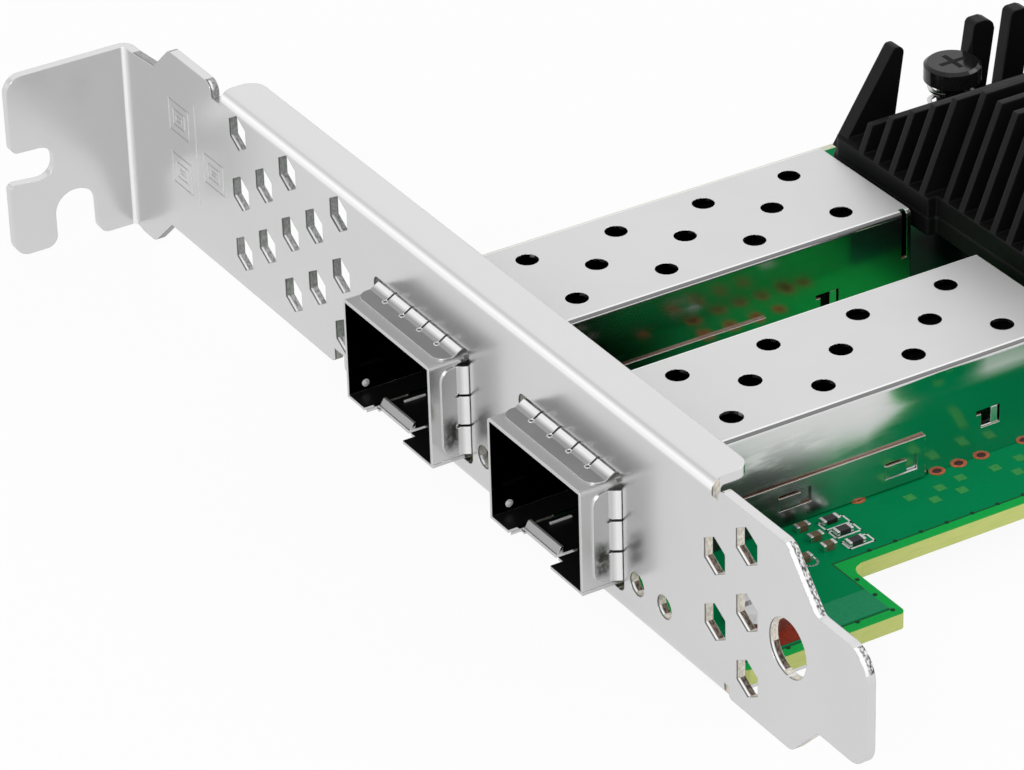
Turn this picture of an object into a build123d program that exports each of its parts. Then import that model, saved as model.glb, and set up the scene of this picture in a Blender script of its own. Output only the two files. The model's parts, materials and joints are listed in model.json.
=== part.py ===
"""Dual-port network interface card with a full-height bracket, in millimetres.

X runs along the bracket from the screw tab (x = 0) to its foot, Y from the bracket's front face (y = 0)
to the far end of the board, and Z up from the component face of the board (z = 0).
"""
import os

from build123d import *

os.makedirs("parts", exist_ok=True)

# Bracket
sheet = 0.86
bracket_length = 118.7
bracket_width = 18.42
main_bottom = -1.65
main_top = main_bottom + bracket_width
foot_top, foot_bottom = main_top - 0.4, main_bottom - 0.35
tab_top, tab_bottom = 13.47, -4.75
neck_top, neck_bottom = 13.85, -4.95
tongue_bottom = 1.6
tongue_top = tongue_bottom + 10.3
fold_outer = 1.2
fold_inner = 0.35
lip_start, lip_end, lip_depth = 19.4, 97.9, 3.8
relief_width = 1.7
relief_depth = 1.4
nick = 0.7
ear_start, ear_end, seat_depth = 40.0, 99.5, 3.4
ear_reach = 11.0
ear_width = 6.0
vent_flats = 3.0
vent_first_x = 22.35
vent_column = 4.465
vent_rows_even = (13.6, 7.6, 1.55)
vent_rows_odd = (10.4, 4.35)
vent_groups = (((0, 1, 2, 3, 4), 0.25), ((17, 18), -0.35))
round_hole_x, round_hole_z, round_hole_diameter = 108.3, 7.05, 5.1
lamp_hole_diameter = 2.15
small_hole_sides = 16
pin_hole_sides = 8
hidden_round_sides = 20
lamp_height = 1.45
lamp_offsets = (9.75, 13.75)

# Board
board_thickness = 1.57
board_start = 1.3
board_length = 167.65
board_end = board_start + board_length
board_high_edge = 31.6
board_low_edge = 92.25
foot_edge = 100.2
foot_end = 16.75
connector_drop = 8.25
connector_start = 58.0
key_offset = 11.65
key_width = 1.9
connector_length = 52.2
mount_hole_y = 6.5
mount_hole_x = (43.0, 94.5)
mount_hole_diameter = 3.2
screw_head_radius, screw_head_height, screw_radius, screw_length = 2.75, 1.7, 1.45, 3.0

# Port cages
port_centres = (53.8, 53.8 + 23.46)
cage_half = 7.1
cage_top = 9.81
cage_front = -3.45
cage_back = 44.93
cage_sheet = 0.35
floor_bottom = 0.15
floor_top = 0.45
wall_bottom = 0.5
floor_end = 30.0
flap_start, flap_end, flap_top = 1.6, 29.7, 4.1
flap_sheet = 0.2
flap_gap = 0.05
cage_vent_diameter = 2.05
cage_vent_pitch = 8.96
cage_vent_row = 4.0
cage_vent_start = 12.86
pin_width, pin_end = 0.7, -2.6
pin_hole_diameter = 1.05
pin_line = 7.1
floor_pin_y = (6.0, 14.5, 23.1)
cover_pin_y = (31.1, 40.0)
spring_sheet = 0.15
spring_front = -2.4
spring_slit_end = -0.95
spring_tip = 1.5
spring_bulge = 0.5
slit_width, slit_length = 0.24, 4.0
floor_bulge, floor_tip = 0.4, 1.15
port_hole_half = 7.85
port_hole_top = 10.65
port_hole_bottom = -0.42
port_hole_corner = 0.4

latch_middle, latch_width = -1.4, 5.0
latch_notch_middle, latch_notch_width = -0.83, 6.1
latch_notch_end = -2.25
latch_slot = 0.4
corner_slot_y, corner_slot_width, corner_slot_drop = 44.25, 0.5, 4.5
cover_window_y, cover_window_z, cover_window_length, cover_window_height = 36.2, 3.6, 2.4, 1.7
flap_windows = ((16.8, 2.4), (27.3, 1.9))
flap_window_length, flap_window_height = 3.2, 1.5
connector_y, connector_width, connector_depth, connector_height = 37.6, 12.6, 12.2, 8.6
slot_bottom, slot_top, slot_start, slot_end, slot_span = 3.7, 5.7, 30.0, 40.0, 9.6
contact_row_y, contact_row_length, contact_row_pitch, contacts_a_row = 35.8, 6.0, 0.8, 10

# Heatsink
sink_left = 47.4
sink_front, sink_back = 46.0, 94.0
sink_base_bottom, sink_base_top = 8.6, 11.0
sink_step_x, sink_step = 61.9, 0.9
fin_thickness = 0.7
fin_first, fin_pitch, fin_count = 51.64, 2.28, 14
fin_top = 20.4
fin_low_top, fin_rise = 13.55, 0.62
fin_slope = 0.42
sink_edge_cut = 0.6
blade_thickness = 1.4
blade_top = 18.5
blade_lean = 0.14
blade_pitch = 4.1
blade_width = 2.35
front_blade_start = sink_base_top - 1.0
front_blade_lean = 0.65
front_blade_crest = 1.15
second_blade = 14.2
pedestal = 25.0
lid_side, pad_side = 21.0, 20.0
chip_top = 3.1
pad_thickness = 0.3
pin_x, pin_y = 49.75, 57.2
head_radius = 2.58
head_top = 16.0
head_height = 1.65
head_cone = 0.4
shaft_radius = 1.4
barb_radius = 1.9
shaft_hole_radius = 1.7
spring_radius = 2.0
spring_wire = 0.22
spring_pitch = 1.35


def rounded_face(corners):
    """Flat face from (u, v, radius) corners; a radius of 0 leaves the corner sharp."""
    with BuildSketch() as outline:
        with BuildLine():
            Polyline([(u, v) for u, v, radius in corners], close=True)
        make_face()
        for u, v, radius in corners:
            if radius:
                fillet(outline.vertices().sort_by_distance((u, v))[0], radius)
    return outline.sketch


def eased_face(corners):
    """Flat face from (u, v, cut) corners, each cut twice so that it looks round with few facets."""
    with BuildSketch() as outline:
        with BuildLine():
            Polyline([(u, v) for u, v, cut in corners], close=True)
        make_face()
        for u, v, cut in corners:
            if cut:
                chamfer(outline.vertices().sort_by_distance((u, v))[0], cut)
                chamfer(outline.vertices().sort_by_distance((u, v))[:2], 0.4 * cut)
    return outline.sketch


def edge_near(part, axis, point):
    """The edge parallel to an axis whose middle is nearest to a point."""
    return part.edges().filter_by(axis).sort_by_distance(point)[0]


def save(builder, name):
    """Label the finished part and write it as a STEP file."""
    builder.part.label = name
    export_step(builder.part, f"parts/{name}.step")


# Bracket: plate, tab, lips folded back above and below, and two ears under the board
plate_face = rounded_face([
    (0, tab_bottom, 0), (1.5, tab_bottom, 0), (2.3, neck_bottom, 0.6), (4.6, neck_bottom, 1.3),
    (8.2, main_bottom, 0.8), (ear_start - relief_width, main_bottom, 0.5),
    (ear_start - relief_width, main_bottom + relief_depth, 0), (ear_start, main_bottom + relief_depth, 0),
    (ear_start, main_bottom, 0), (ear_end, main_bottom, 0), (ear_end, main_bottom + nick, 0),
    (ear_end + nick, main_bottom + nick, 0), (ear_end + nick, foot_bottom, 0.4),
    (108.9, foot_bottom, 1.5), (112.4, tongue_bottom, 0.8), (bracket_length, tongue_bottom, 2.0),
    (bracket_length, tongue_top, 2.5), (112.2, tongue_top, 0.8), (108.2, foot_top, 1.6),
    (lip_end + relief_width / 2, foot_top, 0.8), (lip_end + relief_width / 2, main_top - relief_depth, 0),
    (lip_end, main_top - relief_depth, 0), (lip_end, main_top, 0), (lip_start, main_top, 0),
    (lip_start, main_top - relief_depth, 0), (lip_start - relief_width, main_top - relief_depth, 0),
    (lip_start - relief_width, main_top, 1.0), (9.8, main_top, 0.9), (6.6, neck_top, 0.3),
    (2.4, tab_top, 0), (0, tab_top, 0)])
tab_face = rounded_face([
    (0.4, tab_top, 0), (-12.05, tab_top, 1.7), (-12.05, 5.9, 0.7), (-7.85, 5.75, 1.5), (-7.85, 2.4, 1.5),
    (-12.45, 2.8, 0.6), (-12.45, -4.6, 1.5), (-8.1, -4.6, 1.1), (-8.1, 0.6, 2.1), (-3.85, 0.6, 2.1),
    (-3.75, tab_bottom, 1.0), (0.4, tab_bottom, 0)])
lip_face = rounded_face([
    (lip_start, 0, 0), (lip_start, lip_depth, 1.5), (lip_end, lip_depth, 1.5), (lip_end, 0, 0)])
port_hole_face = eased_face([
    (-port_hole_half, port_hole_bottom, port_hole_corner),
    (port_hole_half, port_hole_bottom, port_hole_corner),
    (port_hole_half, port_hole_top, port_hole_corner),
    (-port_hole_half, port_hole_top, port_hole_corner)])
ear_face = eased_face([
    (ear_start, 0, 0), (ear_start, ear_reach, 1.5), (ear_start + ear_width, ear_reach, 1.5),
    (ear_start + ear_width, seat_depth, 0.8), (ear_end - ear_width - 2.5, seat_depth, 0.8),
    (ear_end - ear_width - 2.5, ear_reach, 1.5), (ear_end, ear_reach, 1.5), (ear_end, 0, 0)])
seat_top = -board_thickness
seat_bottom = seat_top - sheet
vent_points = [(vent_first_x + vent_column * column, z + shift)
               for columns, shift in vent_groups for column in columns
               for z in (vent_rows_odd if column % 2 else vent_rows_even)]

with BuildPart() as bracket:
    with BuildSketch(Plane.XZ):
        add(plate_face)
    extrude(amount=-sheet)
    with BuildSketch(Plane.YZ):
        add(tab_face)
    extrude(amount=sheet)
    fillet(edge_near(bracket, Axis.Z, (0, sheet, 4)), fold_outer)
    fillet(edge_near(bracket, Axis.Z, (sheet, 0, 4)), fold_inner)
    with BuildSketch(Plane.XY.offset(main_top - sheet)):
        add(lip_face)
    extrude(amount=sheet)
    fillet(edge_near(bracket, Axis.X, (58, 0, main_top)), fold_outer)
    fillet(edge_near(bracket, Axis.X, (58, sheet, main_top - sheet)), fold_inner)
    with BuildSketch(Plane.XY.offset(seat_bottom)):
        add(ear_face)
    extrude(amount=sheet)
    with Locations(((ear_start + ear_end) / 2, sheet / 2, (seat_top + main_bottom) / 2)):
        Box(ear_end - ear_start, sheet, 2 * (seat_top - main_bottom) + 0.2)
    fillet(edge_near(bracket, Axis.X, (70, 0, seat_bottom)), fold_outer)
    with BuildSketch(Plane.XZ):
        with Locations(*vent_points):
            RegularPolygon(vent_flats / 2, 6, major_radius=False, rotation=30)
        with Locations((round_hole_x, round_hole_z)):
            Circle(round_hole_diameter / 2)
        for centre in port_centres:
            with Locations((centre, 0)):
                add(port_hole_face)
            with Locations(*[(centre + offset, lamp_height) for offset in lamp_offsets]):
                RegularPolygon(lamp_hole_diameter / 2, small_hole_sides)
    extrude(amount=-sheet, mode=Mode.SUBTRACT)
    with BuildSketch(Plane.XY.offset(seat_bottom - sheet)):
        with Locations(*[(x, mount_hole_y) for x in mount_hole_x]):
            RegularPolygon(screw_radius + 0.1, hidden_round_sides)
    extrude(amount=3 * sheet, mode=Mode.SUBTRACT)
save(bracket, "bracket")

# Pan-head screws that hold the board on the bracket's ears
with BuildPart() as bracket_screws:
    with BuildSketch():
        with Locations(*[(x, mount_hole_y) for x in mount_hole_x]):
            RegularPolygon(screw_head_radius, hidden_round_sides)
    extrude(amount=screw_head_height)
    chamfer(bracket_screws.edges().group_by(Axis.Z)[-1], 0.5)
    with BuildSketch():
        with Locations(*[(x, mount_hole_y) for x in mount_hole_x]):
            RegularPolygon(screw_radius, hidden_round_sides)
    extrude(amount=-screw_length)
    with Locations(*[(x, mount_hole_y, screw_head_height) for x in mount_hole_x]):
        Box(2.8, 0.6, 1.2, mode=Mode.SUBTRACT)
        Box(0.6, 2.8, 1.2, mode=Mode.SUBTRACT)
save(bracket_screws, "bracket_screws")

# Board outline with the foot behind the bracket and the keyed edge connector
connector_edge = board_low_edge + connector_drop
key_start = connector_start + key_offset
connector_end = connector_start + connector_length
board_face = eased_face([
    (board_high_edge, board_start, 1.0), (foot_edge, board_start, 0.5), (foot_edge, foot_end, 0.25),
    (board_low_edge, foot_end, 0.9), (board_low_edge, connector_start, 0.5),
    (connector_edge, connector_start, 0.8), (connector_edge, key_start, 0.3),
    (board_low_edge + 0.9, key_start, 0.5), (board_low_edge + 0.9, key_start + key_width, 0.5),
    (connector_edge, key_start + key_width, 0.3), (connector_edge, connector_end, 0.8),
    (board_low_edge, connector_end, 0.5), (board_low_edge, board_end, 1.5),
    (board_high_edge, board_end, 1.5)])
sink_middle_x = fin_first + fin_pitch * (fin_count - 1) / 2
sink_middle_y = (sink_front + sink_back) / 2
push_pin_spots = [(pin_x, pin_y), (2 * sink_middle_x - pin_x, 2 * sink_middle_y - pin_y)]
cage_pin_spots = [(centre + side * pin_line, y)
                  for centre in port_centres for side in (-1, 1) for y in floor_pin_y + cover_pin_y]

with BuildPart() as circuit_board:
    with BuildSketch(Plane.XY.offset(-board_thickness)):
        add(board_face)
        with Locations(*[(x, mount_hole_y) for x in mount_hole_x]):
            RegularPolygon(mount_hole_diameter / 2, hidden_round_sides, mode=Mode.SUBTRACT)
        with Locations(*push_pin_spots):
            RegularPolygon(mount_hole_diameter / 2, hidden_round_sides, mode=Mode.SUBTRACT)
        with Locations(*cage_pin_spots):
            RegularPolygon(pin_hole_diameter / 2, pin_hole_sides, mode=Mode.SUBTRACT)
    extrude(amount=board_thickness)
save(circuit_board, "circuit_board")

# Gold contacts on both faces of the edge connector
contact_width, contact_length, contact_height, contact_pitch = 0.7, 4.2, 0.05, 1.0
contact_x = connector_edge - 0.9 - contact_length / 2
contact_y = [connector_start + 0.85 + contact_pitch * step for step in range(11)]
contact_y += [key_start + key_width + 0.85 + contact_pitch * step for step in range(38)]
with BuildPart() as edge_contacts:
    with Locations(*[(contact_x, y, contact_height / 2) for y in contact_y]):
        Box(contact_length, contact_width, contact_height)
    with Locations(*[(contact_x, y, -board_thickness - contact_height / 2) for y in contact_y]):
        Box(contact_length, contact_width, contact_height)
save(edge_contacts, "edge_contacts")


def spring_strip(width, slits, bulge, tip, corner):
    """Flat spring sheet lying on z = 0 with its front corners rounded and its back cut into fingers."""
    with BuildPart() as strip:
        with BuildSketch(Plane.YZ):
            with BuildLine():
                lower = Polyline((spring_front, 0), (spring_slit_end, 0), (-0.1, bulge - spring_sheet),
                                 (0.55, bulge - spring_sheet), (tip, 0.02))
                upper = Polyline((tip, 0.02 + spring_sheet), (0.55, bulge), (-0.1, bulge),
                                 (spring_slit_end, spring_sheet), (spring_front, spring_sheet))
                Line(lower @ 1, upper @ 0)
                Line(upper @ 1, lower @ 0)
            make_face()
        extrude(amount=width / 2, both=True)
        if corner:
            fillet(strip.edges().filter_by(Axis.Z).group_by(Axis.Y)[0], corner)
        with BuildSketch():
            with Locations(*[(slit, spring_slit_end + slit_length / 2) for slit in slits]):
                Rectangle(slit_width, slit_length)
            with Locations(*[(slit, spring_slit_end) for slit in slits]):
                RegularPolygon(slit_width, pin_hole_sides)
        extrude(amount=2 * bulge, both=True, mode=Mode.SUBTRACT)
    return strip.part


top_strip = spring_strip(13.7, (-4.25, -1.42, 1.42, 4.25), spring_bulge + spring_sheet, spring_tip, 1.2)
side_strip = spring_strip(8.4, (-1.45, 1.45), spring_bulge + spring_sheet, spring_tip, 1.2)
floor_strip = spring_strip(3.2, (0,), floor_bulge, floor_tip, 0)
vent_spots = [(row * cage_vent_row, cage_vent_start + cage_vent_pitch * step)
              for row in (-1, 1) for step in range(4)]
vent_spots += [(0, cage_vent_start + cage_vent_pitch * (step + 0.5)) for step in range(3)]


def build_port(number, centre):
    """One transceiver port: cage cover, cage floor, spring fingers, connector and its contacts."""
    middle = (cage_front + cage_back) / 2
    length = cage_back - cage_front
    inner = cage_half - cage_sheet

    with BuildPart() as cover:
        with Locations((centre, middle, (wall_bottom + cage_top) / 2)):
            Box(2 * cage_half, length, cage_top - wall_bottom)
        fillet(cover.edges().filter_by(Axis.Y).group_by(Axis.Z)[-1], 0.45)
        with Locations((centre, middle - cage_sheet, (wall_bottom + cage_top) / 2 - cage_sheet)):
            Box(2 * inner, length, cage_top - wall_bottom, mode=Mode.SUBTRACT)
        with Locations((centre, (floor_end + cage_back) / 2 + 0.1, wall_bottom / 2 + 0.05)):
            Box(2 * cage_half, cage_back - floor_end - 0.2, wall_bottom)
            Box(2 * inner, cage_back - floor_end + 1, wall_bottom + 0.3, mode=Mode.SUBTRACT)
        with BuildSketch(Plane.XY.offset(cage_top - 2 * cage_sheet)):
            with Locations(*[(centre + x, y) for x, y in vent_spots]):
                RegularPolygon(cage_vent_diameter / 2, small_hole_sides)
        extrude(amount=4 * cage_sheet, mode=Mode.SUBTRACT)
        for side in (-1, 1):
            wall = centre + side * (cage_half - cage_sheet / 2)
            with Locations((wall, cover_window_y, cover_window_z)):
                Box(2 * cage_sheet, cover_window_length, cover_window_height, mode=Mode.SUBTRACT)
            with Locations((wall - side * 0.3, cover_window_y, cover_window_z - 0.2)):
                Box(cage_sheet, cover_window_length - 0.9, cover_window_height - 0.4)
            with Locations((wall, cover_window_y - 1.0, cover_window_z - 0.2)):
                Box(cage_sheet, 0.6, cover_window_height - 0.4)
            with Locations(*[(wall, y, 0.4) for y in cover_pin_y]):
                Box(cage_sheet, pin_width, 0.8)
            with Locations(*[(wall, y, pin_end / 2) for y in cover_pin_y]):
                Box(cage_sheet, pin_width, -pin_end)
        with Locations((centre + cage_half, corner_slot_y, cage_top)):
            Box(4 * cage_sheet, corner_slot_width, 2 * corner_slot_drop, mode=Mode.SUBTRACT)
    save(cover, f"port_{number}_cage_cover")

    with BuildPart() as cage_floor:
        with BuildSketch(Plane.XY.offset(floor_bottom)):
            with Locations((centre, (cage_front + floor_end) / 2)):
                Rectangle(2 * cage_half, floor_end - cage_front)
            with Locations((centre, (flap_start + flap_end) / 2)):
                Rectangle(2 * (cage_half + flap_gap + flap_sheet), flap_end - flap_start)
            with Locations((centre + latch_notch_middle, cage_front)):
                Rectangle(latch_notch_width, 2 * (latch_notch_end - cage_front), mode=Mode.SUBTRACT)
            latch_side = (latch_width + latch_slot) / 2
            with Locations(*[(centre + latch_middle + side * latch_side, 2.8) for side in (-1, 1)]):
                Rectangle(latch_slot, 2 * (2.8 - cage_front), mode=Mode.SUBTRACT)
            with BuildLine(Location((centre + latch_middle, 3.2))):
                Polyline((-1.5, 0), (1.5, 0), (0, 2.6), close=True)
            make_face(mode=Mode.SUBTRACT)
        extrude(amount=floor_top - floor_bottom)
        with BuildSketch(Plane.YZ.offset(centre + latch_middle)):
            with BuildLine():
                Polyline((latch_notch_end, floor_bottom), (-1.75, 1.0), (-1.5, 1.0), (-1.7, floor_bottom),
                         close=True)
            make_face()
        extrude(amount=latch_width / 2, both=True)
        for side in (-1, 1):
            flap = centre + side * (cage_half + flap_gap + flap_sheet / 2)
            with Locations((flap, (flap_start + flap_end) / 2, (floor_bottom + flap_top) / 2)):
                Box(flap_sheet, flap_end - flap_start, flap_top - floor_bottom)
            with Locations(*[(flap, y, z) for y, z in flap_windows]):
                Box(2 * flap_sheet, flap_window_length, flap_window_height, mode=Mode.SUBTRACT)
            with Locations(*[(flap + side * 0.12, y - 0.6, z) for y, z in flap_windows]):
                Box(flap_sheet, flap_window_length - 1.1, flap_window_height - 0.4)
            with Locations(*[(flap, y, (floor_bottom + pin_end) / 2) for y in floor_pin_y]):
                Box(flap_sheet, pin_width, floor_bottom - pin_end)
    save(cage_floor, f"port_{number}_cage_floor")

    with BuildPart() as springs:
        add(Pos(centre, 0, cage_top) * top_strip)
        add(Pos(centre + cage_half, 0, (cage_top + floor_bottom) / 2) * Rot(0, 90, 0) * side_strip)
        add(Pos(centre - cage_half, 0, (cage_top + floor_bottom) / 2) * Rot(0, -90, 0) * side_strip)
        add(Pos(centre - 5.2, 0, floor_bottom) * Rot(0, 180, 0) * floor_strip)
        add(Pos(centre + 5.0, 0, floor_bottom) * Rot(0, 180, 0) * floor_strip)
    save(springs, f"port_{number}_spring_fingers")

    with BuildPart() as connector:
        with Locations((centre, connector_y, connector_height / 2)):
            Box(connector_width, connector_depth, connector_height)
        fillet(connector.edges().filter_by(Axis.Y).group_by(Axis.Z)[-1], 0.8)
        with Locations((centre, (slot_start + slot_end) / 2, (slot_bottom + slot_top) / 2)):
            Box(slot_span, slot_end - slot_start, slot_top - slot_bottom, mode=Mode.SUBTRACT)
    save(connector, f"port_{number}_connector")

    row = [centre + contact_row_pitch * (step - (contacts_a_row - 1) / 2) for step in range(contacts_a_row)]
    with BuildPart() as contacts:
        with Locations(*[(x, contact_row_y, slot_top - 0.1) for x in row]):
            Box(contact_row_pitch / 2, contact_row_length, 0.2)
        with Locations(*[(x, contact_row_y, slot_bottom + 0.1) for x in row]):
            Box(contact_row_pitch / 2, contact_row_length, 0.2)
    save(contacts, f"port_{number}_contacts")


for port, port_centre in enumerate(port_centres, start=1):
    build_port(port, port_centre)

# Heatsink: stepped base on a pedestal, low fins rising to full height, cross-cut blades at both sides
sink_right = 2 * sink_middle_x - sink_left
fin_spots = [fin_first + fin_pitch * step for step in range(fin_count)]
root = sink_base_top - 0.5


def fin_outline(front, back, top, slope):
    """Side view of a fin whose two ends lean inwards."""
    rise = slope * (top - sink_base_top)
    return rounded_face([(front, root, 0), (front, sink_base_top - 0.2, 0), (front + rise, top, 0),
                         (back - rise, top, 0), (back, sink_base_top - 0.2, 0), (back, root, 0)])


def blade_outlines():
    """Side views of the cross-cut blades along one outer edge, with a gap for the push pin."""
    lean = blade_lean * (blade_top - front_blade_start)
    crest = sink_front + front_blade_lean * (blade_top - front_blade_start)
    crest_end = crest + front_blade_crest
    front = rounded_face([(sink_front, front_blade_start, 0), (crest, blade_top, 0.45),
                          (crest_end, blade_top, 0.65), (crest_end - lean, front_blade_start, 0)])
    faces = [front]
    start = sink_front + second_blade
    while start < sink_back - blade_width:
        faces.append(eased_face([(start - lean, front_blade_start, 0), (start, blade_top, 0.25),
                                 (start + blade_width, blade_top, 0.75),
                                 (start + blade_width - lean, front_blade_start, 0)]))
        start += blade_pitch
    return faces


back_step_x = 2 * sink_middle_x - sink_step_x
fin_faces = []
for x in fin_spots:
    nearest = min(x - fin_first, fin_spots[-1] - x)
    top = min(fin_top, fin_low_top + fin_rise * nearest)
    front = sink_front + (sink_step if x > sink_step_x else 0)
    back = sink_back - (sink_step if x < back_step_x else 0)
    fin_faces.append((x, fin_outline(front, back, top, fin_slope)))
blade_faces = blade_outlines()
base_face = rounded_face([
    (sink_left, sink_front, 1.0), (sink_step_x, sink_front, 0), (sink_step_x, sink_front + sink_step, 0),
    (sink_right, sink_front + sink_step, 1.0), (sink_right, sink_back, 1.0), (back_step_x, sink_back, 0),
    (back_step_x, sink_back - sink_step, 0), (sink_left, sink_back - sink_step, 1.0)])

with BuildPart() as heatsink:
    with BuildSketch(Plane.XY.offset(sink_base_bottom)):
        add(base_face)
    extrude(amount=sink_base_top - sink_base_bottom)
    chamfer(heatsink.faces().sort_by(Axis.Z)[0].edges(), sink_edge_cut)
    for x, face in fin_faces:
        with BuildSketch(Plane.YZ.offset(x - fin_thickness / 2)):
            add(face)
        extrude(amount=fin_thickness)
    with BuildSketch(Plane.YZ.offset(sink_left)):
        for face in blade_faces:
            add(face)
    extrude(amount=blade_thickness)
    with BuildSketch(Plane.YZ.offset(sink_right - blade_thickness)):
        for face in blade_faces:
            mirrored = Pos(2 * sink_middle_y, 0) * mirror(face, about=Plane.YZ, mode=Mode.PRIVATE)
            add(mirrored)
    extrude(amount=blade_thickness)
    with Locations((sink_middle_x, sink_middle_y, (chip_top + pad_thickness + sink_base_bottom) / 2)):
        Box(pedestal, pedestal, sink_base_bottom - chip_top - pad_thickness)
    with Locations(*[(x, y, sink_base_top) for x, y in push_pin_spots]):
        Cylinder(head_radius + 0.35, 12, align=(Align.CENTER, Align.CENTER, Align.MIN), mode=Mode.SUBTRACT)
        Cylinder(shaft_hole_radius, 12, mode=Mode.SUBTRACT)
save(heatsink, "heatsink")

# Push pins: mushroom head, shaft through the base and the board, split barb below
barb_top, barb_end = -board_thickness - 0.05, -4.0
cone_bottom = head_top - head_height - head_cone
head_face = rounded_face([
    (0, cone_bottom, 0), (shaft_radius, cone_bottom, 0), (head_radius, head_top - head_height, 0),
    (head_radius, head_top - 0.25, 0), (head_radius - 0.3, head_top, 0), (0, head_top, 0)])
with BuildPart() as single_pin:
    with BuildSketch(Plane.XZ):
        add(head_face)
    revolve(axis=Axis.Z)
    with BuildSketch(Plane.XY.offset(cone_bottom)):
        RegularPolygon(shaft_radius, hidden_round_sides)
    extrude(amount=barb_end - cone_bottom)
    with BuildSketch(Plane.XY.offset(barb_top)):
        RegularPolygon(barb_radius, hidden_round_sides)
    extrude(amount=barb_end - barb_top)
    chamfer(single_pin.edges().group_by(Axis.Z)[0], 0.6)
    with Locations((0, 0, barb_end)):
        Box(0.6, 5, 4, mode=Mode.SUBTRACT)
with BuildPart() as push_pins:
    for x, y in push_pin_spots:
        add(Pos(x, y, 0) * single_pin.part)
save(push_pins, "push_pins")

coil_bottom = sink_base_top + spring_wire
coil_top = cone_bottom - spring_wire
with BuildPart() as single_coil:
    with BuildLine():
        coil = Helix(pitch=spring_pitch, height=coil_top - coil_bottom, radius=spring_radius)
    with BuildSketch(Plane(coil @ 0, z_dir=coil % 0)):
        RegularPolygon(spring_wire, 5)
    sweep(is_frenet=True)
with BuildPart() as push_pin_springs:
    for x, y in push_pin_spots:
        add(Pos(x, y, coil_bottom) * single_coil.part)
save(push_pin_springs, "push_pin_springs")

# Controller chip under the heatsink
substrate_height = 1.1
with BuildPart() as controller_substrate:
    with Locations((sink_middle_x, sink_middle_y, substrate_height / 2)):
        Box(pedestal, pedestal, substrate_height)
save(controller_substrate, "controller_substrate")

with BuildPart() as controller_lid:
    with Locations((sink_middle_x, sink_middle_y, (substrate_height + chip_top) / 2)):
        Box(lid_side, lid_side, chip_top - substrate_height)
    chamfer(controller_lid.faces().sort_by(Axis.Z)[-1].edges(), 0.4)
save(controller_lid, "controller_lid")

with BuildPart() as thermal_pad:
    with Locations((sink_middle_x, sink_middle_y, chip_top + pad_thickness / 2)):
        Box(pad_side, pad_side, pad_thickness)
save(thermal_pad, "thermal_pad")

# Small chip parts: body and end caps are one lump
resistor_spots = [(85.9, 19.3), (87.8, 19.3), (89.7, 19.2), (40.0, 102.0), (40.0, 104.5), (40.0, 107.0),
                  (88.0, 118.0), (85.5, 118.0), (83.0, 118.0)]
capacitor_spots = [(85.7, 16.7), (87.5, 16.8), (89.2, 16.9), (89.7, 14.2), (44.0, 102.0), (44.0, 104.5),
                   (44.0, 107.0), (58.0, 112.0), (60.5, 112.0), (63.0, 112.0), (74.0, 134.0), (76.5, 134.0)]
resistor_width, resistor_length, resistor_height = 0.8, 1.6, 0.44
with BuildPart() as resistors:
    with Locations(*[(x, y, resistor_height / 2) for x, y in resistor_spots]):
        Box(resistor_width, resistor_length, resistor_height)
save(resistors, "resistors")

capacitor_width, capacitor_length, capacitor_height = 0.7, 1.3, 0.6
with BuildPart() as ceramic_capacitors:
    with Locations(*[(x, y, capacitor_height / 2) for x, y in capacitor_spots]):
        Box(capacitor_width, capacitor_length, capacitor_height)
save(ceramic_capacitors, "ceramic_capacitors")

lamp_y, lamp_width, lamp_depth, lamp_top = 2.6, 1.6, 1.2, 1.5
with BuildPart() as status_lamps:
    with Locations(*[(centre + offset, lamp_y, lamp_top / 2)
                     for centre in port_centres for offset in lamp_offsets]):
        Box(lamp_width, lamp_depth, lamp_top)
    chamfer(status_lamps.edges().filter_by(Axis.X).group_by(Axis.Z)[-1], 0.3)
save(status_lamps, "status_lamps")

inductor_spots, inductor_side, inductor_height = [(50.0, 124.0), (64.0, 124.0)], 7.0, 4.0
with BuildPart() as inductors:
    with Locations(*[(x, y, inductor_height / 2) for x, y in inductor_spots]):
        Box(inductor_side, inductor_side, inductor_height)
    chamfer(inductors.edges().filter_by(Axis.Z), 0.7)
    chamfer(inductors.edges().group_by(Axis.Z)[-1], 0.3)
save(inductors, "inductors")

regulator_spots, regulator_side, regulator_height = [(50.0, 134.0), (64.0, 134.0)], 5.0, 0.9
with BuildPart() as voltage_regulators:
    with Locations(*[(x, y, regulator_height / 2) for x, y in regulator_spots]):
        Box(regulator_side, regulator_side, regulator_height)
save(voltage_regulators, "voltage_regulators")

polymer_spots = [(40.0, 126.0), (40.0, 135.0), (75.0, 125.0)]
can_base_side, can_base_height, can_radius, can_height = 6.6, 1.0, 3.15, 5.9
with BuildPart() as polymer_capacitors:
    with Locations(*[(x, y, can_base_height / 2) for x, y in polymer_spots]):
        Box(can_base_side, can_base_side, can_base_height)
    chamfer(polymer_capacitors.edges().filter_by(Axis.Z), 1.0)
    with BuildSketch(Plane.XY.offset(can_base_height)):
        with Locations(*polymer_spots):
            RegularPolygon(can_radius, hidden_round_sides)
    extrude(amount=can_height - can_base_height)
    chamfer(polymer_capacitors.edges().group_by(Axis.Z)[-1], 0.35)
save(polymer_capacitors, "polymer_capacitors")

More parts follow.
